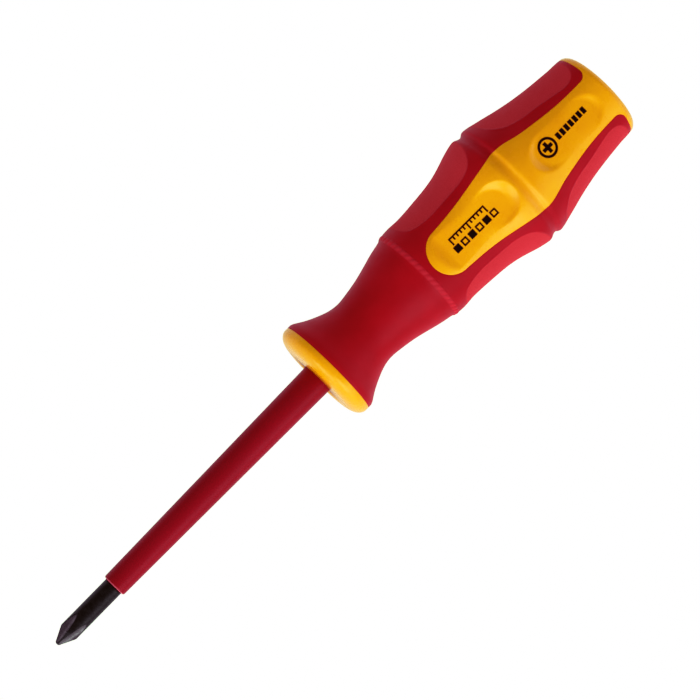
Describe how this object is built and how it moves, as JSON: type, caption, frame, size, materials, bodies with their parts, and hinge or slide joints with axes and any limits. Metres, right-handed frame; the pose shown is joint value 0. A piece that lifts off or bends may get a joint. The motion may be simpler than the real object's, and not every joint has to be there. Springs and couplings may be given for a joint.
{
  "type": "insulated screwdriver",
  "caption": "Insulated cross-recess screwdriver: black steel blade in a red insulating sleeve, yellow core handle with a guard collar and a red soft grip.",
  "frame": {"origin": "the blade's tip, on the tool's axis", "axes": "+X runs along the tool from the tip to the handle's butt, +Z points out of the window that carries the printed marks, +Y completes the right-handed frame and points out of a side pad"},
  "size_m": [0.1692, 0.0304, 0.0304],
  "materials": {
    "blade_steel": "black phosphate on hardened steel, satin",
    "red_insulation": "smooth moulded plastic, semi-gloss",
    "yellow_core": "smooth hard plastic, semi-gloss",
    "red_grip": "soft thermoplastic rubber, satin, with fine-textured matte pads",
    "black_ink": "pad-printed ink"
  },
  "bodies": {
    "root": {"blade": "blade_steel", "blade_insulation": "red_insulation", "handle_core": "yellow_core", "soft_grip": "red_grip", "front_print": "black_ink", "rear_print": "black_ink"}
  },
  "joints": []
}
